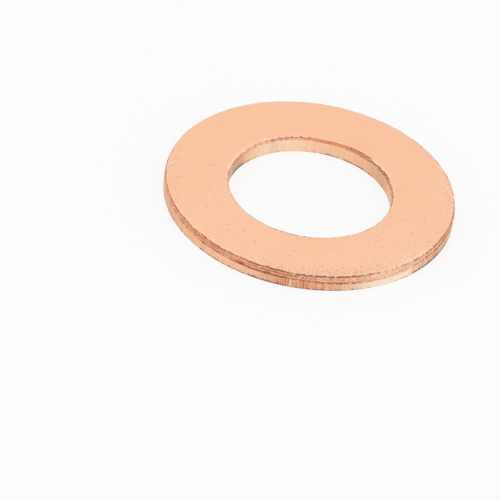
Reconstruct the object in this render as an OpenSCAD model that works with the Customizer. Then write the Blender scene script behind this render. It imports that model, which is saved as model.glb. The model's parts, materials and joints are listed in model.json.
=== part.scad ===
// Copper crush washer, punched from flat sheet in one stroke. Millimetres.
// It lies flat with its axis on +Z, its lower face on z = 0 and the burr side up.
// Each cut edge has, from the bottom: a rounded die roll, a smooth sheared land,
// a small ledge, and a torn band that leans back to the upper face.

/* [Washer] */
// Diameter of the sheared land round the outside
outer_d = 25; // [20:0.5:36]
// Diameter of the sheared land in the bore
bore_d = 14; // [8:0.5:17]
// Thickness of the copper sheet
thickness = 1.5; // [1.2:0.1:3]

/* [Cut edges] */
// Radius of the die roll at the foot of both cut edges
die_roll_r = 0.15; // [0.05:0.01:0.3]
// Height of the torn band at the top of the outer edge
outer_tear_h = 0.6; // [0.2:0.05:0.8]
// Height of the torn band at the top of the bore
bore_tear_h = 0.3; // [0.2:0.05:0.8]
// How far the ledge under the torn band steps back into the copper
tear_ledge = 0.03; // [0.01:0.005:0.06]
// How far the torn band leans back between the ledge and the upper face
tear_lean = 0.04; // [0.01:0.005:0.1]
// Width of the break that tumbling leaves along the upper edges
edge_break = 0.04; // [0.02:0.005:0.08]

/* [Hidden] */
$fn = 128;
outer_r = outer_d / 2;
bore_r = bore_d / 2;
// How far cutting shapes run past the face that they cut
overcut = 0.1;

// One cut edge from the foot to the upper face, as [radius, height] points.
// The copper lies on the side that inward points to: -1 for the outer edge, 1 for the bore.
function cut_edge(land_r, inward, tear_h) = [
    [land_r, 0],
    [land_r, thickness - tear_h],
    [land_r + inward * tear_ledge, thickness - tear_h + tear_ledge],
    [land_r + inward * (tear_ledge + tear_lean), thickness - edge_break],
    [land_r + inward * (tear_ledge + tear_lean + edge_break), thickness],
];

function reversed(points) = [for (i = [len(points) - 1 : -1 : 0]) points[i]];

// The corner of the section that the die roll takes away at the foot of a cut edge.
module die_roll_waste(land_r, inward) {
    translate([land_r, 0])
        mirror([inward < 0 ? 1 : 0, 0])
            difference() {
                translate([-overcut, -overcut])
                    square(die_roll_r + overcut);
                translate([die_roll_r, die_roll_r])
                    circle(die_roll_r);
            }
}

// Half of the washer cut through its axis: radius on X, height on Y.
module ring_section() {
    difference() {
        polygon(concat(
            cut_edge(outer_r, -1, outer_tear_h),
            reversed(cut_edge(bore_r, 1, bore_tear_h))
        ));
        die_roll_waste(outer_r, -1);
        die_roll_waste(bore_r, 1);
    }
}

module washer() {
    color([0.95, 0.76, 0.63])
        rotate_extrude()
            ring_section();
}

washer();
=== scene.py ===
"""A punched copper crush washer with the marks of the punch on its cut edges, and a studio round it.

Metres, +Z up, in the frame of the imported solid. The ring is one closed surface: a section is carried
round the axis, and its cut edges change from station to station as a sheared edge does.
"""

import json
import math
from dataclasses import dataclass

import bpy
import numpy as np
from bpy.props import FloatProperty, FloatVectorProperty, IntProperty, PointerProperty
from mathutils import Matrix, Vector


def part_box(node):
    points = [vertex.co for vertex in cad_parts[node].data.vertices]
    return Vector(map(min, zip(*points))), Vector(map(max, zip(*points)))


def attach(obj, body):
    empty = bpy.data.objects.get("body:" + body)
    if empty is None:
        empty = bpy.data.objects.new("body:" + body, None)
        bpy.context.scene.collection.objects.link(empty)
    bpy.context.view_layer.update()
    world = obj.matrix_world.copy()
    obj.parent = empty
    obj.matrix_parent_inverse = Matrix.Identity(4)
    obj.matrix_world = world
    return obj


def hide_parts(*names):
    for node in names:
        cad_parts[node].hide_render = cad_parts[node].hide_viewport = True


bl_info = {
    "name": "Copper Crush Washer",
    "version": (1, 0, 0),
    "blender": (4, 5, 0),
    "location": "View3D > Sidebar > Washer",
    "description": "Builds a punched copper crush washer and a plain studio round it",
    "category": "Add Mesh",
}

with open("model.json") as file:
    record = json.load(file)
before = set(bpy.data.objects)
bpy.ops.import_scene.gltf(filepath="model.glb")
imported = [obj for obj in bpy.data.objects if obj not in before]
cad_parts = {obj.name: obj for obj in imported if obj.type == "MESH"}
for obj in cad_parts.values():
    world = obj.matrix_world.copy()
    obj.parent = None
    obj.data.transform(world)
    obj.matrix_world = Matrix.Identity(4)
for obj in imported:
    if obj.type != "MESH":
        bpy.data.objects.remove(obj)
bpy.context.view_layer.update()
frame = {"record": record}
RING_LOW, RING_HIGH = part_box("washer")
BORE = next(mount for mount in frame["record"]["mounts"] if mount["name"] == "bore")

MM = 0.001
DIE_ROLL = 0.15 * MM
TURN = 2 * math.pi
FRAME_PX = 500
SENSOR_WIDTH = 36.0
# Nearest and farthest distances that the camera sees
NEAREST, FARTHEST = 10 * MM, 10.0
WHITE = (1.0, 1.0, 1.0)

# The ring's three finishes, in the order of its material slots
FACE, LAND, TORN = range(3)

# Rows of the surface along each stretch of the section
LOWER_FACE_ROWS = 2
DIE_ROLL_ROWS = 5
OUTER_TORN_ROWS = 14
BORE_TORN_ROWS = 10
BREAK_ROWS = 3
UPPER_FACE_ROWS = 3

# Rows up a land, as shares of its height, close together at the die roll and under the ledge
LAND_SHARES = np.array([[0.05, 0.12, 0.35, 0.6, 0.84, 0.95, 1.0]])
# Rows of the upper face, as distances in from its edges
EDGE_SUPPORTS = np.array([0.02, 0.05, 0.1, 0.2, 0.5, 1.0]) * MM
# Distance over which the upper face falls away at its edges
EDGE_FALL = 0.08 * MM
# Furrows in one turn of the comb that the die drew on a land
FURROWS = 410
# Distances over which the dark lines along the outer edge and the hole's edge of the upper face fade
EDGE_LINE = 0.09 * MM
HOLE_LINE = 0.1 * MM
# Distance over which the painted highlight of the burr along both upper edges fades
BURR_HIGHLIGHT = 0.16 * MM
# Height over which the painted black shade at the foot of the cut edges fades
SHADE_HEIGHT = 0.4 * MM
# Height below the upper face over which the bore's torn band reddens
RED_CORNER = 0.13 * MM
# Heights of the fine bumps in the three finishes
FACE_GRAIN = 0.004 * MM
LAND_GRAIN = 0.006 * MM
TORN_GRAIN = 0.01 * MM
# Margin round each half turn in the map for baking, as a share of the map
BAKE_MARGIN = 0.004


class WasherSizes(bpy.types.PropertyGroup):
    """Sizes of the ring and of the marks that the punch left on it."""

    outer_radius: FloatProperty(
        name="Outer radius", description="Radius of the sheared land round the outside",
        default=RING_HIGH.x, min=0.0, unit="LENGTH", precision=5)
    bore_radius: FloatProperty(
        name="Bore radius", description="Radius of the sheared land in the bore",
        default=BORE["dims"]["r_mm"] * MM, min=0.0, unit="LENGTH", precision=5)
    thickness: FloatProperty(
        name="Thickness", description="Thickness of the copper sheet",
        default=RING_HIGH.z - RING_LOW.z, min=0.0, unit="LENGTH", precision=5)
    die_roll: FloatProperty(
        name="Die roll", description="Radius of the rounded lower edges",
        default=DIE_ROLL, min=0.0, unit="LENGTH", precision=6)
    outer_tear: FloatProperty(
        name="Outer tear", description="Mean height of the torn band round the outside",
        default=0.55 * MM, min=0.0, unit="LENGTH", precision=6)
    outer_tear_swing: FloatProperty(
        name="Outer tear swing", description="How much higher the outer torn band is on its high side",
        default=0.14 * MM, min=0.0, unit="LENGTH", precision=6)
    bore_tear: FloatProperty(
        name="Bore tear", description="Mean height of the torn band in the bore",
        default=RING_HIGH.z - RING_LOW.z - DIE_ROLL - BORE["dims"]["length_mm"] * MM,
        min=0.0, unit="LENGTH", precision=6)
    bore_tear_swing: FloatProperty(
        name="Bore tear swing", description="How much higher the bore's torn band is on its high side",
        default=0.08 * MM, min=0.0, unit="LENGTH", precision=6)
    ledge: FloatProperty(
        name="Ledge", description="Step in from the land to the foot of the torn band",
        default=0.03 * MM, min=0.0, unit="LENGTH", precision=6)
    lean: FloatProperty(
        name="Lean", description="How far the torn band leans back over its height",
        default=0.04 * MM, min=0.0, unit="LENGTH", precision=6)
    edge_break: FloatProperty(
        name="Edge break", description="Width of the broken corner at the upper face",
        default=0.04 * MM, min=0.0, unit="LENGTH", precision=6)
    relief: FloatProperty(
        name="Torn relief", description="Depth of the roughness in the torn bands",
        default=0.022 * MM, min=0.0, unit="LENGTH", precision=6)
    bite: FloatProperty(
        name="Edge bite", description="Depth of the deepest chips in the upper edges",
        default=0.16 * MM, min=0.0, unit="LENGTH", precision=6)
    drag: FloatProperty(
        name="Drag lines", description="Depth of the upright lines that the punch drew on the lands",
        default=0.01 * MM, min=0.0, unit="LENGTH", precision=6)
    lip: FloatProperty(
        name="Lip", description="How far the upper face falls away at its edges",
        default=0.006 * MM, min=0.0, unit="LENGTH", precision=6)
    rubbed: FloatProperty(
        name="Rubbed edge", description="Width of the worn strips along the edges of the upper face",
        default=1.1 * MM, min=0.0, unit="LENGTH", precision=6)
    stations: IntProperty(
        name="Stations", description="Sections that make one turn of the ring",
        default=1344, min=64, max=1360)


class CopperFinish(bpy.types.PropertyGroup):
    """Colours and gloss of the copper's three finishes."""

    face: FloatVectorProperty(
        name="Rolled face", description="Colour of the flat faces of the sheet",
        subtype="COLOR", default=(0.953, 0.556, 0.364), min=0.0, max=1.0)
    land: FloatVectorProperty(
        name="Sheared land", description="Colour of the sheared lands and die rolls",
        subtype="COLOR", default=(1.0, 0.6, 0.387), min=0.0, max=1.0)
    # Painted shade on the lands: the colour at the low end of the painted sheen and shade
    shaded_land: FloatVectorProperty(
        name="Dull land", description="Colour of a land that the die hardly rubbed",
        subtype="COLOR", default=(0.6, 0.38, 0.27), min=0.0, max=1.0)
    torn: FloatVectorProperty(
        name="Torn band", description="Colour of the rough torn bands",
        subtype="COLOR", default=(0.96, 0.465, 0.258), min=0.0, max=1.0)
    # Rubbed torn band, also used for the painted sheen on the outer torn band at the front right
    pale_torn: FloatVectorProperty(
        name="Rubbed torn band", description="Colour of the torn bands where they were rubbed",
        subtype="COLOR", default=(1.0, 0.7, 0.53), min=0.0, max=1.0)
    furrow: FloatVectorProperty(
        name="Furrow", description="Colour of the drag lines that the die drew on a land",
        subtype="COLOR", default=(0.58, 0.21, 0.08), min=0.0, max=1.0)
    # Oxide in pits and scratches, also used as painted shade in hollows, creases, under the corners and
    # along the foot
    oxide_and_shade: FloatVectorProperty(
        name="Oxide", description="Colour of the oxide in pits, ledges and broken corners",
        subtype="COLOR", default=(0.36, 0.115, 0.05), min=0.0, max=1.0)
    # Painted black shade at the foot of the cut edges
    black_shade: FloatVectorProperty(
        name="Grime", description="Colour of the blackest oxide at the foot of the cut edges",
        subtype="COLOR", default=(0.07, 0.045, 0.035), min=0.0, max=1.0)
    # Rubbed copper, and also the colour of the painted highlights: the sheen on the lands, the rim and burr
    # highlights and the glints
    bright: FloatVectorProperty(
        name="Bright copper", description="Colour of rubbed and freshly scratched copper",
        subtype="COLOR", default=(1.0, 0.86, 0.66), min=0.0, max=1.0)
    grazing: FloatVectorProperty(
        name="Grazing tint", description="Tint of what the cut edges reflect at a grazing angle",
        subtype="COLOR", default=(0.84, 0.76, 0.69), min=0.0, max=1.0)
    face_roughness: FloatProperty(
        name="Face roughness", description="Roughness of the rolled faces",
        subtype="FACTOR", default=0.3, min=0.0, max=1.0)
    land_roughness: FloatProperty(
        name="Land roughness", description="Roughness of the sheared lands",
        subtype="FACTOR", default=0.22, min=0.0, max=1.0)
    torn_roughness: FloatProperty(
        name="Torn roughness", description="Roughness of the torn bands",
        subtype="FACTOR", default=0.68, min=0.0, max=1.0)


class StudioStage(bpy.types.PropertyGroup):
    """The floor, the soft lamp, the pale room and the camera."""

    floor_colour: FloatVectorProperty(
        name="Floor", description="Colour of the pale floor",
        subtype="COLOR", default=(0.9, 0.9, 0.9), min=0.0, max=1.0)
    floor_glow: FloatProperty(
        name="Floor glow", description="Share of the floor's own white in what the eye sees of it",
        subtype="FACTOR", default=0.82, min=0.0, max=1.0)
    floor_half: FloatProperty(
        name="Floor half width", description="Half the width of the floor",
        default=1.0, min=0.1, unit="LENGTH")
    key_power: FloatProperty(
        name="Key power", description="Power of the soft lamp over the ring",
        default=0.5, min=0.0, unit="POWER")
    key_place: FloatVectorProperty(
        name="Key place", description="Where the soft lamp stands",
        subtype="TRANSLATION", unit="LENGTH", default=(0.19, -0.31, 0.38))
    key_width: FloatProperty(
        name="Key width", description="Width of the soft lamp's square face",
        default=0.8, min=0.0, unit="LENGTH")
    sky_strength: FloatProperty(
        name="Sky strength", description="Even light that the pale room gives from all round",
        default=0.9, min=0.0)
    elevation: FloatProperty(
        name="Camera elevation", description="Angle of the view above the plane of the ring",
        default=math.radians(37.0), subtype="ANGLE", unit="ROTATION")
    roll: FloatProperty(
        name="Camera roll", description="How far the ring's axis leans to the right in the picture",
        default=math.radians(8.83), subtype="ANGLE", unit="ROTATION")
    distance: FloatProperty(
        name="Camera distance", description="Distance along the view from the camera to the ring",
        default=374.8 * MM, min=0.0, unit="LENGTH")
    focal_px: FloatProperty(
        name="Focal length", description="Focal length of the view in pixels of the picture",
        default=4393.0, min=1.0, subtype="PIXEL")
    ring_px: FloatVectorProperty(
        name="Ring centre", description="Pixel where the centre of the upper face stands, right and down",
        size=2, default=(310.6, 186.7))


def smooth_step(low, high, value):
    """0 up to low and 1 from high on; between them 3f^2 - 2f^3 of the fraction f of the way."""
    fraction = np.clip((value - low) / (high - low), 0.0, 1.0)
    return fraction * fraction * (3 - 2 * fraction)


def ring_noise(turn, rise, cells_round, cells_up, seed):
    """Smooth chance heights from -1 to 1 that close on themselves round the ring.

    A lattice of cells_round by cells_up random values is read at turn and rise, both in 0 to 1.
    Between four lattice values the height is blended by the smooth step of each fraction.
    """
    lattice = np.random.default_rng(seed).uniform(-1.0, 1.0, (cells_round, cells_up + 1))
    across, up = turn * cells_round, rise * cells_up
    column = np.floor(across).astype(int)
    row = np.clip(np.floor(up).astype(int), 0, cells_up - 1)
    blend_round = smooth_step(0.0, 1.0, across - column)
    blend_up = smooth_step(0.0, 1.0, up - row)
    here, after = column % cells_round, (column + 1) % cells_round
    low = lattice[here, row] * (1 - blend_round) + lattice[after, row] * blend_round
    high = lattice[here, row + 1] * (1 - blend_round) + lattice[after, row + 1] * blend_round
    return low * (1 - blend_up) + high * blend_up


def round_noise(turn, cells, seed):
    """The same chance heights along one line round the ring."""
    return ring_noise(turn, np.zeros(1), cells, 1, seed)


def hump(turn, middle_deg, width_deg):
    """A bell round the ring: exp(-(angle from the middle / width)^2).

    Angles are degrees round the axis from the right of the ring. Its front is at -90 and its back at 90.
    """
    off = (turn * 360.0 - middle_deg + 180.0) % 360.0 - 180.0
    return np.exp(-(off / width_deg) ** 2)


def span(turn, start_deg, end_deg, start_soft, end_soft):
    """1 between two angles and 0 outside them, each end a smooth step over its own soft angle."""
    angle = turn * 360.0
    risen = smooth_step(start_deg, start_deg + start_soft, angle)
    fallen = smooth_step(end_deg - end_soft, end_deg, angle)
    return risen - fallen


def drag_comb(turn, seed):
    """A comb of furrows round the ring, 0 to 1: cosine waves whose spacing and depth wander by chance."""
    phase = TURN * FURROWS * turn + 4.5 * round_noise(turn, 150, seed)
    depth = np.clip(
        0.62 + 0.25 * round_noise(turn, 60, seed + 1) + 0.55 * round_noise(turn, 230, seed + 2), 0.0, 1.0)
    return (0.5 + 0.5 * np.cos(phase)) * depth


@dataclass
class CutMarks:
    """What the punch left on one cut edge, station by station."""

    tear: np.ndarray  # height of the torn band
    torn_rows: int  # rows of the surface in the torn band
    ragged: np.ndarray  # share of the full bite in the upper corner
    worn: np.ndarray  # share of the full bite by which the upper corner stands back evenly
    gouges: np.ndarray  # share of a deep gouge at the foot of the torn band
    second_line: np.ndarray  # share of a second torn line part of the way up the band
    drawn: np.ndarray  # strength of the drag lines on the land
    furrows: np.ndarray  # depth of the comb of furrows among the drag lines
    sheen_and_shade: np.ndarray  # painted sheen and shade of the land, partly its polish: from 0, painted shade, to 1, painted highlight
    pale: np.ndarray  # how far the torn band is pale, from rubbing and, at the front right, from a painted sheen, or below 0 how far it darkened
    crumbled: np.ndarray  # contrast of the torn band's grain
    reddened: np.ndarray  # how far the top of the torn band reddened
    burr_highlight: np.ndarray  # painted highlight of the burr on the upper face along the corner
    corner_line: np.ndarray  # cover of oxide and painted shadow along the upper corner
    face_line: np.ndarray  # cover of oxide and painted shade on the upper face along the corner
    ledge_line: np.ndarray  # cover of oxide and painted shade in the crease of the ledge
    foot_shade_line: np.ndarray  # cover of painted shade along the die roll, drawn as dark oxide
    black_shade: np.ndarray  # how black the painted shade at the foot is
    seed: int  # start of this edge's chance numbers


def cut_edge(sizes, turn, marks):
    """One cut edge at every station, in rows from the lower face to the upper face.

    Returns depth into the metal from the land, height, and the cover of oxide and painted shade, as arrays
    of stations by rows, and the finish of each row.
    Die roll: depth = r(1 - cos a), height = r(1 - sin a), with a from a quarter turn down to 0.
    Land: upright, less the drag lines.
    Ledge: a step back at the foot of the tear, wider in the gouges.
    Torn band: ledge + lean times the fraction of its height, plus chance relief at three scales.
    Broken corner: a 45 degree bevel, set back by ragged bites that also eat into the band below.
    """
    seed = marks.seed
    still = np.zeros_like(turn)
    angle = np.linspace(math.pi / 2, 0.0, DIE_ROLL_ROWS)[None, :]
    roll_depth = sizes.die_roll * (1 - np.cos(angle)) + still
    roll_height = sizes.die_roll * (1 - np.sin(angle)) + still
    # The die roll carries the painted shade along the foot
    roll_oxide_shade = marks.foot_shade_line + 0 * angle

    ledge_height = sizes.thickness - marks.tear
    land_depth = sizes.drag * marks.furrows * smooth_step(0.0, 0.3, LAND_SHARES)
    land_height = sizes.die_roll + (ledge_height - sizes.die_roll) * LAND_SHARES
    foot_reach = 0.16 * np.clip(marks.foot_shade_line, 0.4, 1.5) ** 2
    # Painted shade at the foot of the land, and oxide and painted shade under the ledge
    land_oxide_shade = (0.75 * marks.ledge_line * smooth_step(0.94, 1.0, LAND_SHARES)
                  + marks.foot_shade_line * (1 - smooth_step(0.0, foot_reach, LAND_SHARES)))

    step = 1.5 + 0.5 * round_noise(turn, 200, seed + 3) + 1.6 * marks.gouges
    ledge_depth = sizes.ledge * step
    ledge_rise = ledge_height + sizes.ledge * 0.7
    ledge_oxide_shade = marks.gouges + 0.8 * marks.ledge_line

    ragged = 0.45 * np.abs(round_noise(turn, 460, seed + 5))
    chips = 0.6 * smooth_step(0.2, 0.9, round_noise(turn, 190, seed + 6))
    notches = smooth_step(0.7, 1.0, round_noise(turn, 46, seed + 7))
    bite = sizes.bite * (marks.worn + marks.ragged * np.clip(ragged + chips + notches, 0.0, 1.2))

    rise = np.linspace(0.0, 1.0, marks.torn_rows)[None, :]
    rough = (0.2 * ring_noise(turn, rise, 150, 3, seed + 8)
             + 0.4 * ring_noise(turn, rise, 360, 6, seed + 9)
             + 0.5 * ring_noise(turn, rise, 670, 10, seed + 10))
    middle = 0.5 + 0.1 * round_noise(turn, 40, seed + 11)
    second = marks.second_line * np.exp(-((rise - middle) / 0.09) ** 2)
    gouged = marks.gouges * (1 - smooth_step(0.1, 0.7, rise))
    foot = ledge_height + sizes.ledge * 1.4
    top = sizes.thickness - sizes.edge_break
    torn_height = foot + (top - foot) * rise
    torn_depth = (sizes.ledge * (step * (1 - rise) + rise) + sizes.lean * rise
                  + sizes.relief * (rough + 0.3 + second + gouged) + bite * smooth_step(0.5, 1.0, rise))
    torn_depth = np.maximum(torn_depth, sizes.ledge * 0.4)
    corner = marks.corner_line * smooth_step(0.72, 0.9, rise)
    under = marks.ledge_line * (1 - smooth_step(0.04, 0.2, rise))
    # Oxide and painted shade in the hollows of the torn relief, its second line and gouges, under the
    # corner and over the ledge
    torn_oxide_shade = 0.2 + 0.35 * rough + 0.8 * second + 0.6 * gouged + corner + under

    bevel = np.linspace(0.0, 1.0, BREAK_ROWS + 1)[None, 1:]
    edge_depth = sizes.ledge + sizes.lean + sizes.edge_break + bite
    break_depth = torn_depth[:, -1:] + (edge_depth - torn_depth[:, -1:]) * bevel
    break_height = top + sizes.edge_break * bevel + still
    break_oxide_shade = marks.corner_line + 0 * bevel

    depth = np.hstack([roll_depth, land_depth, ledge_depth, torn_depth, break_depth])
    height = np.hstack([roll_height, land_height, ledge_rise, torn_height, break_height])
    oxide_and_shade = np.hstack([roll_oxide_shade, land_oxide_shade, ledge_oxide_shade, torn_oxide_shade, break_oxide_shade])
    finish = [LAND] * (DIE_ROLL_ROWS + LAND_SHARES.size) + [TORN] * (1 + marks.torn_rows + BREAK_ROWS)
    return depth, height, np.clip(oxide_and_shade, 0.0, 1.0), finish


def outer_marks(sizes, turn):
    """The outer edge: a tear that is tall at the front right and low at both ends of the front.

    The land has drag lines at the front and a painted highlight beside them. Its foot carries painted black
    shade, darkest at the front right.
    """
    swing = (np.cos(TURN * turn - math.radians(-70)) + 0.8 * hump(turn, -56, 13) - 1.7 * hump(turn, -14, 18)
             - 1.6 * hump(turn, -168, 20) + 0.35 * round_noise(turn, 11, 21)
             + 0.22 * round_noise(turn, 60, 22) + 0.14 * round_noise(turn, 300, 23))
    patches = ((0.2 * round_noise(turn, 90, 25) + 0.2 * round_noise(turn, 400, 26))
               * (1 - 0.6 * hump(turn, -8, 24))
               + 0.6 * (hump(turn, -76, 13) + hump(turn, -39, 9) + 0.7 * hump(turn, -143, 16))
               * round_noise(turn, 520, 30))
    # Painted highlight on the outer land at the front right; the drag lines and dark lines are weaker under
    # it
    bright = np.minimum(1.0, 1.3 * hump(turn, -55, 14))
    drawn = (0.16 + 0.84 * hump(turn, -89, 12) + 0.16 * hump(turn, -70, 8) - 0.08 * bright
             + 0.5 * hump(turn, -25, 11) + 0.3 * hump(turn, 40, 30))
    beads = np.clip(0.4 + 1.6 * round_noise(turn, 230, 43) + 2.2 * round_noise(turn, 370, 44), 0.0, 2.8)
    # Dark line of oxide and painted shadow under the upper corner
    corner_line = (0.62 + 0.1 * hump(turn, -95, 30) - 0.16 * hump(turn, -136, 18)
                   - 0.42 * hump(turn, -48, 17) + 0.4 * hump(turn, -21, 12) + patches)
    return CutMarks(
        tear=sizes.outer_tear + sizes.outer_tear_swing * swing, torn_rows=OUTER_TORN_ROWS,
        ragged=0.16 + 0.62 * hump(turn, -95, 50), worn=0 * turn,
        gouges=hump(turn, -113.5, 1.6) + 1.1 * hump(turn, -101.8, 1.5) + 0.6 * hump(turn, 64, 1.5),
        second_line=1.2 * hump(turn, -97, 13) + 0.7 * hump(turn, -131, 15) + 0.8 * hump(turn, 150, 16),
        drawn=drawn, furrows=1.2 * drawn * drag_comb(turn, 27),
        # Painted sheen and shade on the land: the highlight at the front right, and painted shade with
        # streaks of painted reflection at the right end
        sheen_and_shade=(0.48 + 0.54 * bright - 0.25 * hump(turn, -17, 11) + 0.1 * round_noise(turn, 16, 24)
                 + 0.35 * hump(turn, -20, 18) * round_noise(turn, 130, 28)
                 + 0.35 * hump(turn, -34, 14) * (round_noise(turn, 340, 45) + 0.2)),
        # Paleness of the torn band: a painted sheen at the front right, with rubbing
        pale=0.13 + hump(turn, -52, 17) + 0.4 * hump(turn, -20, 20) + 0.1 * round_noise(turn, 70, 29),
        crumbled=0.95 + 0.75 * hump(turn, -82, 20), reddened=0 * turn,
        # Painted highlights of the burr along the upper corner, in beads
        burr_highlight=(hump(turn, -74, 11) + 0.7 * hump(turn, -33, 12) + 0.6 * hump(turn, -132, 22)) * beads,
        corner_line=corner_line, face_line=corner_line * (0.5 + 0.8 * hump(turn, 14, 36)),
        # Dark line of oxide and painted shade in the crease of the ledge
        ledge_line=(0.58 + 0.3 * hump(turn, -100, 25) - 0.4 * hump(turn, -162, 15)
                    - 0.24 * hump(turn, -136, 14) - 0.2 * bright - 0.35 * hump(turn, -44, 12)
                    + 0.52 * hump(turn, -21, 12) + patches),
        # Painted shade along the die roll, weaker under the painted highlight, and painted black shade
        # darkest at the front right
        foot_shade_line=0.75 + 0.3 * hump(turn, -107, 13) + 0.8 * hump(turn, -27, 18) - 0.45 * bright + patches,
        black_shade=0.6 * hump(turn, -107, 13) + hump(turn, -30, 19), seed=100)


def bore_marks(sizes, turn):
    """The bore's edge: a lower tear, chipped on the right and ragged at the back.

    The land carries a painted sheen, brightest at the back left, and painted shade towards both sides of
    it.
    """
    tight = span(turn, 22, 48, 3.0, 0.8)
    swing = (-1.0 * hump(turn, 66, 24) + 1.1 * hump(turn, 83, 11) - 1.5 * hump(turn, 126, 38) - 2.0 * tight
             + 0.2 * round_noise(turn, 13, 31) + 0.25 * round_noise(turn, 50, 32)
             + 0.3 * round_noise(turn, 170, 33))
    chips = hump(turn, 27, 1) + hump(turn, 33, 1) + hump(turn, 40, 0.8)
    # Both ends of the bore's visible span, where the land is in painted shade
    ends = 0.8 * hump(turn, 28, 18) + hump(turn, 162, 14)
    drawn = 0.12 + 0.22 * hump(turn, 122, 4)
    patches = (0.2 * round_noise(turn, 70, 35)
               + (0.3 + 0.35 * hump(turn, 112, 16)) * round_noise(turn, 260, 36))
    beaded = span(turn, 136, 176, 10.0, 6.0)
    # Where the bore's burr carries a painted highlight; the dark line on the face is weaker there
    burred = span(turn, 24, 47.2, 2.0, 0.6) + 0.8 * beaded + 0.9 * span(turn, 94, 140, 8.0, 8.0)
    beads = np.clip(1.1 + 1.3 * round_noise(turn, 130, 41) + 1.8 * round_noise(turn, 420, 42), 0.0, 2.6)
    # Dark line of oxide and painted shadow under the upper corner
    corner_line = (0.26 + 0.4 * tight + 0.35 * hump(turn, -90, 80) - 0.22 * hump(turn, 72, 18)
                   + 0.28 * hump(turn, 108, 12) - 0.1 * hump(turn, 155, 20) + patches)
    return CutMarks(
        tear=sizes.bore_tear + sizes.bore_tear_swing * swing, torn_rows=BORE_TORN_ROWS,
        ragged=0.2 + 1.3 * hump(turn, 110, 22) + 0.9 * chips,
        worn=(1.2 * span(turn, 47.2, 84, 0.6, 30.0) + 0.6 * span(turn, 33.5, 40, 6.0, 0.5)
              + 0.6 * span(turn, 17, 33, 15.0, 0.5)),
        gouges=0 * turn, second_line=0.2 * hump(turn, 60, 15),
        drawn=drawn, furrows=drawn * drag_comb(turn, 37),
        # Painted sheen on the land at the back left, and painted shade towards both ends
        sheen_and_shade=(0.47 + 0.34 * hump(turn, 118, 26) - 0.1 * hump(turn, 38, 14) - 0.15 * ends
                 - 0.3 * hump(turn, 160, 13) + 0.3 * hump(turn, 14, 9) + 0.05 * round_noise(turn, 14, 34)),
        pale=(0.12 + 0.2 * ends - 0.6 * tight - 0.45 * hump(turn, 60, 18) - 0.25 * hump(turn, 84, 14)
              + 0.8 * hump(turn, 135, 26) + 0.1 * round_noise(turn, 50, 39)),
        crumbled=0.9 - 0.5 * hump(turn, 76, 22),
        reddened=0.9 - 0.8 * beaded - 0.45 * hump(turn, 80, 18), burr_highlight=burred * beads,
        corner_line=corner_line, face_line=corner_line * (1.1 - 0.7 * burred),
        # Dark line of oxide and painted shade in the crease of the ledge
        ledge_line=0.28 + 0.25 * tight - 0.2 * hump(turn, 72, 20) + 0.45 * hump(turn, 154, 18) + patches,
        # Painted shade along the die roll, and painted black shade darkest at the back left
        foot_shade_line=(0.7 + 0.85 * hump(turn, 160, 14) - 0.35 * hump(turn, 18, 10)
                   - 0.5 * hump(turn, 112, 22) + (1 - 0.6 * hump(turn, 112, 22)) * patches),
        black_shade=hump(turn, 158, 12) + 0.5 * hump(turn, 70, 30), seed=200)


def edge_fall(from_edge, from_hole):
    """Share by which the upper face falls away at its edges: exp(-distance from the nearer edge / fall)."""
    return np.exp(-np.minimum(from_edge, from_hole) / EDGE_FALL)


def upper_face_masks(sizes, turn, outside, inside, from_edge, from_hole):
    """The upper face's point masks, from the distances to its outer edge and to the hole's edge.

    Rim highlight: a painted highlight on the fall at the edges, plus each edge's painted burr highlight,
    which fades as exp(-(distance / burr)^2).
    Oxide and shade: each edge's dark line of oxide and painted shade, which fades as exp(-distance / line).
    Handled, scuffed, stained: humps round the ring. Some lie only in the worn strips along the edges,
    which fade as exp(-(distance / rubbed)^2).
    """
    by_edge, by_hole = np.exp(-(from_edge / sizes.rubbed) ** 2), np.exp(-(from_hole / sizes.rubbed) ** 2)
    edge_wear = 0.3 * hump(turn, 178, 28) + 0.9 * hump(turn, 6, 15) + 1.2 * hump(turn, -42, 9)
    edge_scuff = 1.1 * hump(turn, -74, 34) + 0.5 * hump(turn, 180, 36) + 0.7 * hump(turn, 6, 13)
    edge_stain = 0.7 * (hump(turn, 5, 22) + hump(turn, 38, 6) + hump(turn, 178, 25))
    return {
        # Painted highlight along the fall at both edges and along the burrs
        "rim_highlight": (edge_fall(from_edge, from_hole) + inside.burr_highlight * np.exp(-(from_hole / BURR_HIGHLIGHT) ** 2)
                + outside.burr_highlight * np.exp(-(from_edge / BURR_HIGHLIGHT) ** 2)),
        # Dark lines of oxide and painted shade along both edges
        "oxide_and_shade": (outside.face_line * np.exp(-from_edge / EDGE_LINE)
                  + inside.face_line * np.exp(-from_hole / HOLE_LINE)),
        "handled": (0.02 + 0.42 * hump(turn, -125, 60) + 0.4 * hump(turn, -45, 34) + edge_wear * by_edge),
        "scuffed": edge_scuff * by_edge,
        "stained": (0.45 + 0.2 * hump(turn, 60, 60) + 0.7 * hump(turn, -85, 22) * by_hole
                    + edge_stain * by_edge),
    }


def band_paleness(sizes, marks, height):
    """A cut edge's paleness, less its redness where the smooth step up to the upper face lets it in."""
    return marks.pale - marks.reddened * smooth_step(sizes.thickness - RED_CORNER, sizes.thickness, height)


def shade_at_foot(marks, height):
    """A cut edge's painted black shade, fading up from its foot as exp(-(height / shade height)^2)."""
    return marks.black_shade * np.exp(-(height / SHADE_HEIGHT) ** 2)


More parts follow.
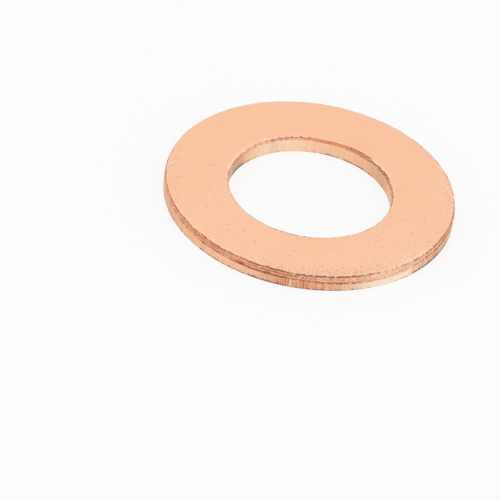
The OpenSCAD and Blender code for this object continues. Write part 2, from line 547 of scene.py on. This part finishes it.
def ring_section(sizes):
    """The closed section at every station: radius, height, point masks, and the rows' finishes.

    The rows go along the lower face from the bore outwards, up the outer edge, along the upper face
    inwards and down the bore's edge. The upper face falls away at its edges by lip times the fall.
    """
    turn = (np.arange(sizes.stations) / sizes.stations)[:, None]
    outside, inside = outer_marks(sizes, turn), bore_marks(sizes, turn)
    outer_depth, outer_height, outer_oxide_shade, outer_finish = cut_edge(sizes, turn, outside)
    bore_depth, bore_height, bore_oxide_shade, bore_finish = cut_edge(sizes, turn, inside)
    outer_radius = sizes.outer_radius - outer_depth
    bore_radius = (sizes.bore_radius + bore_depth)[:, ::-1]
    bore_height, bore_oxide_shade = bore_height[:, ::-1], bore_oxide_shade[:, ::-1]

    share = np.linspace(0.0, 1.0, LOWER_FACE_ROWS + 2)[None, 1:-1]
    lower_radius = bore_radius[:, -1:] + (outer_radius[:, :1] - bore_radius[:, -1:]) * share

    edge, hole = outer_radius[:, -1:], bore_radius[:, :1]
    share = np.linspace(0.0, 1.0, UPPER_FACE_ROWS + 2)[None, 1:-1]
    inner, outer = hole + EDGE_SUPPORTS[-1], edge - EDGE_SUPPORTS[-1]
    upper_radius = np.hstack([
        edge - EDGE_SUPPORTS, outer + (inner - outer) * share, hole + EDGE_SUPPORTS[::-1]])
    from_edge, from_hole = edge - upper_radius, upper_radius - hole
    upper_height = sizes.thickness - sizes.lip * edge_fall(from_edge, from_hole)
    upper = upper_face_masks(sizes, turn, outside, inside, from_edge, from_hole)

    def round_the_section(*stretches):
        """Lower face, outer edge, upper face and bore side by side, each given as a number or an array."""
        widths = (LOWER_FACE_ROWS, outer_radius.shape[1], upper_radius.shape[1], bore_radius.shape[1])
        return np.hstack([
            np.broadcast_to(values, (sizes.stations, width)) for values, width in zip(stretches, widths)])

    radius = round_the_section(lower_radius, outer_radius, upper_radius, bore_radius)
    height = round_the_section(0.0, outer_height, upper_height, bore_height)
    masks = {
        # Oxide and painted shade in hollows, creases, corners and along the foot
        "oxide_and_shade": round_the_section(0.0, outer_oxide_shade, upper["oxide_and_shade"], bore_oxide_shade),
        # Painted highlight along the edges of the upper face
        "rim_highlight": round_the_section(0.0, 1.0, upper["rim_highlight"], 1.0),
        "drawn": round_the_section(0.0, outside.drawn, 0.0, inside.drawn),
        "furrows": round_the_section(0.0, outside.furrows, 0.0, inside.furrows),
        # Painted sheen and shade on the lands
        "sheen_and_shade": round_the_section(0.5, outside.sheen_and_shade, 0.5, inside.sheen_and_shade),
        "pale": round_the_section(
            0.0, band_paleness(sizes, outside, outer_height),
            0.0, band_paleness(sizes, inside, bore_height)),
        # Painted black shade at the foot of the cut edges
        "black_shade": round_the_section(
            0.0, shade_at_foot(outside, outer_height), 0.0, shade_at_foot(inside, bore_height)),
        "crumbled": round_the_section(0.0, outside.crumbled, 0.0, inside.crumbled),
        "handled": round_the_section(0.3, 0.3, upper["handled"], 0.3),
        "scuffed": round_the_section(0.1, 0.0, upper["scuffed"], 0.0),
        "stained": round_the_section(0.5, 0.0, upper["stained"], 0.0),
    }
    finish = [FACE] * LOWER_FACE_ROWS + outer_finish + [FACE] * upper_radius.shape[1] + bore_finish[::-1]
    return radius, height, masks, finish


def strip_finish(finish):
    """The finish of each strip between two rows: face if either is, else torn if either is, else land."""
    after = finish[1:] + finish[:1]
    strips = []
    for here, there in zip(finish, after):
        if FACE in (here, there):
            strips.append(FACE)
        elif TORN in (here, there):
            strips.append(TORN)
        else:
            strips.append(LAND)
    return np.array(strips)


def ring_mesh(sizes):
    """The section carried round the axis: x = radius cos a, y = radius sin a, with both ends joined up."""
    radius, height, masks, finish = ring_section(sizes)
    stations, rows = radius.shape
    angle = (TURN * np.arange(stations) / stations)[:, None]
    places = np.stack([radius * np.cos(angle), radius * np.sin(angle), height], axis=2)

    here = np.arange(stations * rows).reshape(stations, rows)
    ahead = np.roll(here, -1, axis=0)
    quads = np.stack([here, ahead, np.roll(ahead, -1, axis=1), np.roll(here, -1, axis=1)], axis=2)

    mesh = bpy.data.meshes.new("copper_washer")
    mesh.vertices.add(stations * rows)
    mesh.vertices.foreach_set("co", places.ravel())
    mesh.loops.add(quads.size)
    mesh.loops.foreach_set("vertex_index", quads.ravel())
    mesh.polygons.add(stations * rows)
    mesh.polygons.foreach_set("loop_start", np.arange(0, quads.size, 4))
    mesh.polygons.foreach_set("material_index", np.tile(strip_finish(finish), stations))
    mesh.update(calc_edges=True)
    mesh.shade_smooth()
    for name, values in masks.items():
        layer = mesh.attributes.new(name, "FLOAT", "POINT")
        layer.data.foreach_set("value", values.ravel())
    write_bake_map(mesh, radius, height)
    mesh.validate()
    return mesh


def write_bake_map(mesh, radius, height):
    """A map for baking: the ring's surface cut into two half turns that lie one over the other.

    Along u is the fraction of the half turn, and along v the mean distance along the section.
    """
    stations, rows = radius.shape
    mean_radius, mean_height = radius.mean(axis=0), height.mean(axis=0)
    across = np.diff(mean_radius, append=mean_radius[:1])
    up = np.diff(mean_height, append=mean_height[:1])
    steps = np.hypot(across, up)
    along = np.concatenate([[0.0], np.cumsum(steps)]) / steps.sum()
    half = (stations + 1) // 2
    station = np.arange(stations)
    left = (station % half) / half
    right = left + 1 / half
    base = (station // half)[:, None] * 0.5
    low = base + BAKE_MARGIN + along[None, :-1] * (0.5 - 2 * BAKE_MARGIN)
    high = base + BAKE_MARGIN + along[None, 1:] * (0.5 - 2 * BAKE_MARGIN)
    wide = np.ones((1, rows))
    left, right = left[:, None] * wide, right[:, None] * wide
    corners = np.stack([
        np.stack([left, low], axis=2), np.stack([right, low], axis=2),
        np.stack([right, high], axis=2), np.stack([left, high], axis=2)], axis=2)
    layer = mesh.uv_layers.new(name="OFBake")
    layer.uv.foreach_set("vector", corners.ravel())


def feed(tree, socket, value):
    """Links another node's output to the socket, or sets a number or a colour on it."""
    if isinstance(value, bpy.types.NodeSocket):
        tree.links.new(value, socket)
    elif socket.type == "RGBA":
        socket.default_value = (*value, 1.0)
    else:
        socket.default_value = value


def place(tree, kind, values=(), **settings):
    """A node of that kind, with its settings, and with links or constants on its named inputs."""
    node = tree.nodes.new(kind)
    for name, value in settings.items():
        setattr(node, name, value)
    for socket, value in dict(values).items():
        feed(tree, node.inputs[socket], value)
    return node


def math_node(tree, operation, first, second, clamp=False):
    """The result of a math node on two sockets or numbers."""
    node = place(tree, "ShaderNodeMath", {0: first, 1: second}, operation=operation, use_clamp=clamp)
    return node.outputs[0]


def mix_colours(tree, share, first, second):
    """A mix of two colours by a share, each of them a socket or a constant."""
    node = place(tree, "ShaderNodeMix", {"Factor": share, 6: first, 7: second}, data_type="RGBA")
    return node.outputs[2]


def new_group(name, *numbers):
    """A shader group from a vector and some numbers to a mask: its tree, what it is given, and the mask."""
    tree = bpy.data.node_groups.new(name, "ShaderNodeTree")
    tree.interface.new_socket("Vector", in_out="INPUT", socket_type="NodeSocketVector")
    for number in numbers:
        tree.interface.new_socket(number, in_out="INPUT", socket_type="NodeSocketFloat")
    tree.interface.new_socket("Mask", in_out="OUTPUT", socket_type="NodeSocketFloat")
    given, result = place(tree, "NodeGroupInput"), place(tree, "NodeGroupOutput")
    return tree, given.outputs, result.inputs["Mask"]


def speck_group(name, dimensions):
    """Round specks in a random share of cells: 1 at a cell's point, 0 from 0.4 to 1.4 times the size on."""
    tree, given, mask = new_group(name, "Scale", "Share", "Size")
    cells = place(
        tree, "ShaderNodeTexVoronoi", {"Vector": given["Vector"], "Scale": given["Scale"]},
        voronoi_dimensions=dimensions, feature="F1")
    chance = place(tree, "ShaderNodeSeparateColor", {"Color": cells.outputs["Color"]}).outputs
    chosen = math_node(tree, "LESS_THAN", chance[0], given["Share"])
    size = math_node(tree, "MULTIPLY", given["Size"], math_node(tree, "ADD", chance[1], 0.4))
    reach = math_node(tree, "DIVIDE", cells.outputs["Distance"], size)
    nearness = math_node(tree, "SUBTRACT", 1.0, reach, clamp=True)
    feed(tree, mask, math_node(tree, "MULTIPLY", chosen, nearness))
    return tree


def spread_noise(tree, given, detail, roughness, contrast):
    """Fractal noise at a group's vector and scale, spread by the contrast about 0.5 and held to 0 to 1."""
    noise = place(tree, "ShaderNodeTexNoise", {
        "Vector": given["Vector"], "Scale": given["Scale"], "Detail": detail, "Roughness": roughness})
    off = math_node(tree, "SUBTRACT", noise.outputs["Fac"], 0.5)
    return math_node(tree, "ADD", math_node(tree, "MULTIPLY", off, contrast), 0.5, clamp=True)


def mottle_group():
    """Clouds: fractal noise of the given contrast."""
    tree, given, mask = new_group("Mottle", "Scale", "Contrast")
    feed(tree, mask, spread_noise(tree, given, 4.0, 0.6, given["Contrast"]))
    return tree


def dotting_group():
    """Dotted cover: 0 where fine grain lies above the given cover, and 1 from a fifth below it down."""
    tree, given, mask = new_group("Dotting", "Scale", "Cover")
    above = math_node(tree, "SUBTRACT", given["Cover"], spread_noise(tree, given, 2.0, 0.55, 3.0))
    feed(tree, mask, math_node(tree, "MULTIPLY", above, 5.0, clamp=True))
    return tree


@dataclass
class Effects:
    """The shader groups that the copper's finishes share."""

    mottle: bpy.types.NodeTree
    face_specks: bpy.types.NodeTree
    wall_specks: bpy.types.NodeTree
    dotting: bpy.types.NodeTree


def placed_group(tree, group, vector, **values):
    """That group's mask in a material, read at the vector, its other inputs sockets or numbers."""
    node = place(tree, "ShaderNodeGroup", {"Vector": vector, **values}, node_tree=group)
    return node.outputs["Mask"]


def new_material(name):
    """A metal material: its tree, its Principled node, and the piece's own coordinates."""
    material = bpy.data.materials.new(name)
    material.use_nodes = True
    tree = material.node_tree
    shader = tree.nodes["Principled BSDF"]
    shader.inputs["Metallic"].default_value = 1.0
    shader.inputs["Specular IOR Level"].default_value = 0.2
    coordinates = place(tree, "ShaderNodeTexCoord").outputs["Object"]
    return material, tree, shader, coordinates


def attribute(tree, name):
    """A number kept on the ring's points."""
    return place(tree, "ShaderNodeAttribute", attribute_name=name).outputs["Fac"]


def stretched(tree, vector, scale, turned_deg=0.0):
    """The vector turned about the axis, then scaled along each way: a low scale draws a pattern out."""
    rotation = (0.0, 0.0, math.radians(turned_deg))
    turned = place(tree, "ShaderNodeMapping", {"Vector": vector, "Rotation": rotation})
    drawn_out = place(tree, "ShaderNodeMapping", {"Vector": turned.outputs["Vector"], "Scale": scale})
    return drawn_out.outputs["Vector"]


def scaled(tree, mask, factor):
    """The mask times a number or another mask."""
    return math_node(tree, "MULTIPLY", mask, factor)


def layered(tree, colour, *layers):
    """The colour with layers mixed over it in turn, each a mask, its strength and its own colour."""
    for mask, strength, paint in layers:
        colour = mix_colours(tree, scaled(tree, mask, strength), colour, paint)
    return colour


def bumped(tree, shader, height, distance):
    """Feeds a height, in units of the distance, to the shader's normal."""
    bump = place(tree, "ShaderNodeBump", {"Height": height, "Distance": distance, "Strength": 1.0})
    feed(tree, shader.inputs["Normal"], bump.outputs["Normal"])


def varied(tree, mask, middle, swing):
    """middle + swing (mask - 0.5), for a roughness that follows a mask."""
    return math_node(tree, "ADD", scaled(tree, mask, swing), middle - swing / 2)


def oxidised_and_shaded(tree, shader, colour, roughness, dots, oxide_and_shade):
    """Feeds a colour and a roughness to the shader, with matt dark oxide and painted shade over the dots.
    """
    covered = mix_colours(tree, scaled(tree, dots, 0.88), colour, oxide_and_shade)
    dulled = math_node(tree, "ADD", roughness, scaled(tree, dots, 0.35), clamp=True)
    metal = math_node(tree, "SUBTRACT", 1.0, scaled(tree, dots, 0.8))
    for socket, value in (("Base Color", covered), ("Roughness", dulled), ("Metallic", metal)):
        feed(tree, shader.inputs[socket], value)


def rolled_face_copper(finish, effects):
    """Satin face of the rolled sheet: faint clouds, pits and scratches where it was handled, a painted
    highlight along the edges, and dark edges of oxide and painted shade.
    """
    material, tree, shader, where = new_material("rolled_face_copper")
    handled = attribute(tree, "handled")
    clouds = placed_group(tree, effects.mottle, where, Scale=420.0, Contrast=2.8)
    grain = placed_group(tree, effects.mottle, where, Scale=5200.0, Contrast=2.6)
    patchy = scaled(
        tree, handled, placed_group(tree, effects.mottle, where, Scale=480.0, Contrast=7.0))
    pits = placed_group(
        tree, effects.face_specks, where, Scale=2000.0, Share=scaled(tree, patchy, 0.7), Size=0.17)
    scuffed = attribute(tree, "scuffed")
    scuffs = placed_group(tree, effects.dotting, where, Scale=6500.0, Cover=scaled(tree, scuffed, 0.4))
    scratches = placed_group(
        tree, effects.face_specks, stretched(tree, where, (0.3, 1.0, 1.0), 15.0),
        Scale=2300.0, Share=scaled(tree, patchy, 0.6), Size=0.15)
    nicks = placed_group(
        tree, effects.face_specks, stretched(tree, where, (0.45, 1.0, 1.0), -65.0),
        Scale=2500.0, Share=scaled(tree, patchy, 0.6), Size=0.15)
    rubs = placed_group(
        tree, effects.face_specks, stretched(tree, where, (0.4, 1.0, 1.0), -30.0),
        Scale=2200.0, Share=math_node(tree, "ADD", scaled(tree, handled, 0.5), scaled(tree, scuffed, 0.35)),
        Size=0.17)
    scratches = math_node(tree, "MAXIMUM", scratches, nicks)

    stained, rim_highlight = attribute(tree, "stained"), attribute(tree, "rim_highlight")
    # The rim layer is a painted highlight along the edges of the face
    colour = layered(
        tree, finish.face,
        (clouds, scaled(tree, stained, 0.33), finish.torn),
        (grain, scaled(tree, handled, 0.25), finish.bright), (rubs, 0.5, finish.bright),
        (scratches, 0.45, finish.oxide_and_shade), (scuffs, 0.45, finish.oxide_and_shade), (pits, 0.5, finish.oxide_and_shade),
        (rim_highlight, 0.35, finish.bright))
    # Dots of oxide and painted shade along the edges of the face
    edge_line = placed_group(tree, effects.dotting, where, Scale=15000.0, Cover=attribute(tree, "oxide_and_shade"))
    roughness = varied(tree, clouds, finish.face_roughness, 0.12)
    oxidised_and_shaded(tree, shader, colour, roughness, edge_line, finish.oxide_and_shade)
    hollows = math_node(tree, "ADD", scaled(tree, pits, 2.0), scaled(tree, scratches, 0.6))
    bumped(tree, shader, math_node(tree, "SUBTRACT", grain, hollows), FACE_GRAIN)
    return material


def sheared_land_copper(finish, effects):
    """Land that slid along the die: dull to bright by a painted sheen and shade, partly its polish, with
    upright drag lines and dark dots of oxide and painted shade.
    """
    material, tree, shader, where = new_material("sheared_land_copper")
    feed(tree, shader.inputs["Specular Tint"], finish.grazing)
    drawn, furrows = attribute(tree, "drawn"), attribute(tree, "furrows")
    upright = stretched(tree, where, (1.0, 1.0, 0.05))
    lines = placed_group(tree, effects.mottle, upright, Scale=9500.0, Contrast=4.5)
    clouds = placed_group(tree, effects.mottle, where, Scale=2600.0, Contrast=3.0)
    pits = placed_group(tree, effects.wall_specks, where, Scale=2600.0, Share=drawn, Size=0.2)
    # Painted sheen and shade, partly the land's polish: the ramp runs from painted shade through the land's
    # colour to painted highlight
    sheen_and_shade = attribute(tree, "sheen_and_shade")
    polish = place(tree, "ShaderNodeValToRGB", {"Fac": sheen_and_shade})
    stops = polish.color_ramp.elements
    stops[0].color = (*finish.shaded_land, 1.0)
    stops[1].color = (*finish.bright, 1.0)
    stops.new(0.5).color = (*finish.land, 1.0)

    drag = scaled(tree, lines, drawn)
    ridges = math_node(tree, "SUBTRACT", drawn, scaled(tree, furrows, 2.5), clamp=True)
    # Dark clouds grow where the land is in painted shade
    dulled = math_node(tree, "SUBTRACT", 1.1, sheen_and_shade, clamp=True)
    colour = layered(
        tree, polish.outputs["Color"],
        (drawn, 0.5, finish.torn), (drag, 0.5, finish.furrow), (ridges, 0.6, finish.bright),
        (furrows, 1.25, finish.furrow), (clouds, scaled(tree, dulled, 0.35), finish.furrow))
    # Dots of oxide and painted shade in creases and along the foot
    dots = placed_group(tree, effects.dotting, where, Scale=8000.0, Cover=attribute(tree, "oxide_and_shade"))
    dirt_and_shade = math_node(tree, "MAXIMUM", dots, scaled(tree, pits, 0.5))
    # Oxide, going to painted black shade at the foot
    oxide_and_shade = mix_colours(tree, attribute(tree, "black_shade"), finish.oxide_and_shade, finish.black_shade)
    oxidised_and_shaded(tree, shader, colour, varied(tree, drag, finish.land_roughness, 0.2), dirt_and_shade, oxide_and_shade)
    bumped(tree, shader, math_node(tree, "SUBTRACT", drag, pits), LAND_GRAIN)
    return material


def torn_band_copper(finish, effects):
    """Rough torn copper: reddish, paler where it was rubbed and where a sheen is painted, grainy, with
    painted glints and dotted lines of oxide and painted shade.
    """
    material, tree, shader, where = new_material("torn_band_copper")
    feed(tree, shader.inputs["Specular Tint"], finish.grazing)
    flat = stretched(tree, where, (1.0, 1.0, 1.8))
    crumbs = placed_group(tree, effects.mottle, flat, Scale=6000.0, Contrast=7.0)
    # Painted glints: bright specks mixed into the torn grain
    painted_glints = placed_group(tree, effects.wall_specks, where, Scale=5500.0, Share=0.35, Size=0.4)
    pale, crumbled = attribute(tree, "pale"), attribute(tree, "crumbled")
    darkened = math_node(tree, "MULTIPLY", pale, -1.0, clamp=True)
    hollows = scaled(tree, math_node(tree, "SUBTRACT", 0.5, crumbs, clamp=True), crumbled)
    hollow_share = math_node(tree, "SUBTRACT", 1.0, scaled(tree, pale, 0.5))
    # The pale layer is partly a painted sheen
    colour = layered(
        tree, finish.torn,
        (pale, 1.0, finish.pale_torn), (darkened, 1.0, finish.furrow),
        (crumbs, scaled(tree, crumbled, 0.5), finish.pale_torn), (hollows, hollow_share, finish.furrow),
        (painted_glints, scaled(tree, crumbled, 0.75), finish.bright))
    # Dots of oxide and painted shade on the torn band
    dots = placed_group(tree, effects.dotting, flat, Scale=11000.0, Cover=attribute(tree, "oxide_and_shade"))
    oxidised_and_shaded(tree, shader, colour, varied(tree, crumbs, finish.torn_roughness, 0.2), dots, finish.oxide_and_shade)
    bumped(tree, shader, crumbs, TORN_GRAIN)
    return material


def seen_share(tree):
    """1 for rays from the camera or from a glossy or clear surface, 0 for light on matt things."""
    path = place(tree, "ShaderNodeLightPath")
    seen = math_node(tree, "MAXIMUM", path.outputs["Is Camera Ray"], path.outputs["Is Glossy Ray"])
    return math_node(tree, "MAXIMUM", seen, path.outputs["Is Transmission Ray"])


def end_with_mix(tree, share, plain, seen, result):
    """Ends the tree with two shader nodes mixed: the seen one by that share, the plain one for the rest."""
    both = place(tree, "ShaderNodeMixShader", {"Fac": share, 1: plain.outputs[0], 2: seen.outputs[0]})
    place(tree, result, {"Surface": both.outputs[0]})


def pale_floor(stage):
    """A flat matt square under the ring, with some white in what the eye sees, so shadows stay soft."""
    half = stage.floor_half
    corners = [(-half, -half, 0), (half, -half, 0), (half, half, 0), (-half, half, 0)]
    mesh = bpy.data.meshes.new("studio_floor")
    mesh.from_pydata(corners, [], [(0, 1, 2, 3)])
    floor = bpy.data.objects.new("studio_floor", mesh)
    bpy.context.scene.collection.objects.link(floor)
    material = bpy.data.materials.new("pale_floor")
    material.use_nodes = True
    tree = material.node_tree
    tree.nodes.clear()
    matt = place(tree, "ShaderNodeBsdfDiffuse", {"Color": stage.floor_colour})
    glow = place(tree, "ShaderNodeEmission", {"Color": WHITE, "Strength": 1.0})
    share = scaled(tree, seen_share(tree), stage.floor_glow)
    end_with_mix(tree, share, matt, glow, "ShaderNodeOutputMaterial")
    mesh.materials.append(material)


def pale_room(stage):
    """The world: white to the eye and in reflections, and a gentler even light on matt things."""
    world = bpy.data.worlds.new("pale_room")
    bpy.context.scene.world = world
    world.use_nodes = True
    tree = world.node_tree
    tree.nodes.clear()
    even = place(tree, "ShaderNodeBackground", {"Color": WHITE, "Strength": stage.sky_strength})
    white = place(tree, "ShaderNodeBackground", {"Color": WHITE, "Strength": 1.0})
    end_with_mix(tree, seen_share(tree), even, white, "ShaderNodeOutputWorld")


def soft_lamp(stage):
    """A square area lamp that looks at the middle of the ring."""
    data = bpy.data.lights.new("key_lamp", "AREA")
    data.shape = "SQUARE"
    data.size = stage.key_width
    data.energy = stage.key_power
    lamp = bpy.data.objects.new("key_lamp", data)
    lamp.location = stage.key_place
    lamp.rotation_euler = (-Vector(stage.key_place)).to_track_quat("-Z", "Y").to_euler()
    bpy.context.scene.collection.objects.link(lamp)


def studio_camera(stage, thickness):
    """Looks at the ring from its elevation, rolled, with the upper face's centre at its pixel.

    The camera stands back by the distance along forward, and aside by the pixel's offset from the
    middle of the picture times distance over focal length.
    """
    sine, cosine = math.sin(stage.elevation), math.cos(stage.elevation)
    forward, level, upright = Vector((0, cosine, -sine)), Vector((1, 0, 0)), Vector((0, sine, cosine))
    right = level * math.cos(stage.roll) + upright * math.sin(stage.roll)
    up = upright * math.cos(stage.roll) - level * math.sin(stage.roll)
    across, down = ((pixel - FRAME_PX / 2) / stage.focal_px for pixel in stage.ring_px)
    data = bpy.data.cameras.new("studio_camera")
    data.sensor_width = SENSOR_WIDTH
    data.lens = stage.focal_px / FRAME_PX * SENSOR_WIDTH
    data.clip_start, data.clip_end = NEAREST, FARTHEST
    camera = bpy.data.objects.new("studio_camera", data)
    spot = Vector((0, 0, thickness)) - stage.distance * (forward + right * across - up * down)
    axes = Matrix((right, up, -forward)).transposed().to_4x4()
    camera.matrix_world = Matrix.Translation(spot) @ axes
    bpy.context.scene.collection.objects.link(camera)
    bpy.context.scene.camera = camera


class WASHER_OT_build_ring(bpy.types.Operator):
    """Build the copper ring and its three finishes in place of the plain solid."""

    bl_idname = "washer.build_ring"
    bl_label = "Build Ring"

    def execute(self, context):
        scene = context.scene
        mesh = ring_mesh(scene.washer_sizes)
        effects = Effects(
            mottle=mottle_group(), face_specks=speck_group("Face Specks", "2D"),
            wall_specks=speck_group("Wall Specks", "3D"), dotting=dotting_group())
        for make in (rolled_face_copper, sheared_land_copper, torn_band_copper):
            mesh.materials.append(make(scene.copper_finish, effects))
        ring = bpy.data.objects.new("copper_washer", mesh)
        scene.collection.objects.link(ring)
        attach(ring, "root")
        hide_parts("washer")
        return {"FINISHED"}


class WASHER_OT_set_stage(bpy.types.Operator):
    """Set up the pale floor, the soft light and the camera."""

    bl_idname = "washer.set_stage"
    bl_label = "Set Stage"

    def execute(self, context):
        scene = context.scene
        stage = scene.studio_stage
        scene.view_settings.view_transform = "Standard"
        pale_floor(stage)
        pale_room(stage)
        soft_lamp(stage)
        studio_camera(stage, scene.washer_sizes.thickness)
        return {"FINISHED"}


class WASHER_PT_sidebar(bpy.types.Panel):
    """The washer's sizes, finishes and stage."""

    bl_idname = "WASHER_PT_sidebar"
    bl_label = "Crush Washer"
    bl_space_type = "VIEW_3D"
    bl_region_type = "UI"
    bl_category = "Washer"

    def draw(self, context):
        scene = context.scene
        for group in (scene.washer_sizes, scene.copper_finish, scene.studio_stage):
            box = self.layout.box()
            for name in group.__annotations__:
                box.prop(group, name)
        self.layout.operator(WASHER_OT_build_ring.bl_idname)
        self.layout.operator(WASHER_OT_set_stage.bl_idname)


CLASSES = (
    WasherSizes, CopperFinish, StudioStage,
    WASHER_OT_build_ring, WASHER_OT_set_stage, WASHER_PT_sidebar,
)


def register():
    for kind in CLASSES:
        bpy.utils.register_class(kind)
    bpy.types.Scene.washer_sizes = PointerProperty(type=WasherSizes)
    bpy.types.Scene.copper_finish = PointerProperty(type=CopperFinish)
    bpy.types.Scene.studio_stage = PointerProperty(type=StudioStage)


def unregister():
    del bpy.types.Scene.studio_stage
    del bpy.types.Scene.copper_finish
    del bpy.types.Scene.washer_sizes
    for kind in reversed(CLASSES):
        bpy.utils.unregister_class(kind)


def main():
    """Registers the classes, builds the ring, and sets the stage."""
    register()
    bpy.ops.washer.build_ring()
    bpy.ops.washer.set_stage()


if __name__ == "__main__":
    main()
